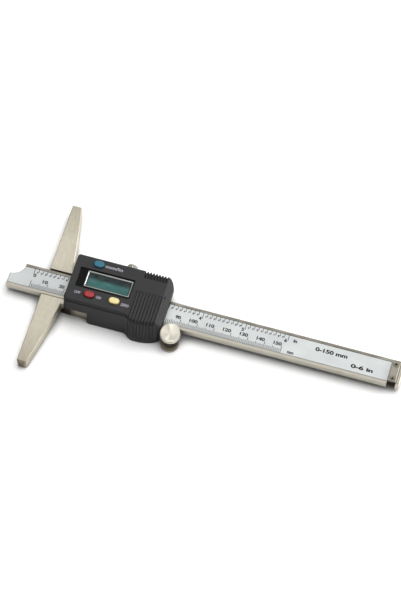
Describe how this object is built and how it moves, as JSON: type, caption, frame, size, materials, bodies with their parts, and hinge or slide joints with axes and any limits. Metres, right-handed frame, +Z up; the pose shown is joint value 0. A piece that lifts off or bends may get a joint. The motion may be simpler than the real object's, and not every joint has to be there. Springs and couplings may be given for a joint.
{
  "type": "digital depth gauge",
  "caption": "Depth gauge lying on its back: straight base with tapered wings, slider with display housing, buttons, thumb roller and lock screw on a flat rod with a printed scale.",
  "frame": {"origin": "on the base's measuring face, at the middle of the rod's width, at the level of the underside", "axes": "+X along the rod away from the measuring face, +Y across the rod towards the lock screw, +Z up from the underside through the display"},
  "size_m": [0.2341, 0.105, 0.0208],
  "materials": {
    "steel": "satin ground",
    "dark_steel": "satin, darker",
    "turned_steel": "turned, bright",
    "brass": "plain",
    "black_plastic": "fine matt grain",
    "label": "printed film, satin",
    "board": "lacquered glass-fibre board",
    "display": "display glass, unlit",
    "bezel": "bright edge",
    "window": "clear",
    "dark_rubber": "matt",
    "blue_plastic": "satin",
    "red_plastic": "satin",
    "yellow_plastic": "satin"
  },
  "bodies": {
    "rod": {"beam": "steel", "scale_strip": "board", "scale_label": "label", "stop_plate": "dark_steel", "stop_screw_1": "dark_steel", "stop_screw_2": "dark_steel"},
    "slider": {"base": "steel", "base_screw_1": "dark_steel", "base_screw_2": "dark_steel", "slider_frame": "dark_steel", "gib_strip": "brass", "gib_screw_1": "dark_steel", "gib_screw_2": "dark_steel", "housing": "black_plastic", "housing_screw_1": "dark_steel", "housing_screw_2": "dark_steel", "housing_screw_3": "dark_steel", "housing_screw_4": "dark_steel", "circuit_board": "board", "lcd_holder": "black_plastic", "lcd_panel": "display", "lcd_connector_1": "dark_rubber", "lcd_connector_2": "dark_rubber", "lcd_bezel": "bezel", "lcd_window": "window", "key_switch_1": "dark_rubber", "key_switch_2": "dark_rubber", "key_switch_3": "dark_rubber", "battery": "turned_steel", "contact_plus": "brass", "contact_minus": "brass", "roller_bracket": "dark_steel", "bracket_screw_1": "dark_steel", "bracket_screw_2": "dark_steel", "roller_axle": "dark_steel"},
    "thumb_roller": {"thumb_roller": "turned_steel"},
    "lock_screw": {"lock_screw": "dark_steel"},
    "mode_button": {"mode_button": "blue_plastic"},
    "power_button": {"power_button": "red_plastic"},
    "zero_button": {"zero_button": "yellow_plastic"},
    "battery_cover": {"battery_cover": "black_plastic"}
  },
  "joints": [
    {"name": "rod_slide", "type": "slide", "parent": "slider", "child": "rod", "axis": [-1, 0, 0], "range_m": [-0.0216, 0.13]},
    {"name": "roller_turn", "type": "hinge", "parent": "slider", "child": "thumb_roller", "pos_m": [0.0792, -0.0132, 0], "axis": [0, 0, 1], "range_deg": [-400, 1900]},
    {"name": "lock_turn", "type": "hinge", "parent": "slider", "child": "lock_screw", "pos_m": [0.0453, 0, 0.0052], "axis": [0, 1, 0], "range_deg": [0, 360]},
    {"name": "mode_button_press", "type": "slide", "parent": "slider", "child": "mode_button", "axis": [0, 0, -1], "range_m": [0, 0.0005], "stiffness_N_per_m": 300},
    {"name": "power_button_press", "type": "slide", "parent": "slider", "child": "power_button", "axis": [0, 0, -1], "range_m": [0, 0.0005], "stiffness_N_per_m": 300},
    {"name": "zero_button_press", "type": "slide", "parent": "slider", "child": "zero_button", "axis": [0, 0, -1], "range_m": [0, 0.0005], "stiffness_N_per_m": 300},
    {"name": "cover_slide", "type": "slide", "parent": "slider", "child": "battery_cover", "axis": [1, 0, 0], "range_m": [0, 0.018]}
  ],
  "couplings": [
    {"joint": "roller_turn", "follows": "rod_slide", "rad_per_m": 204.08}
  ]
}
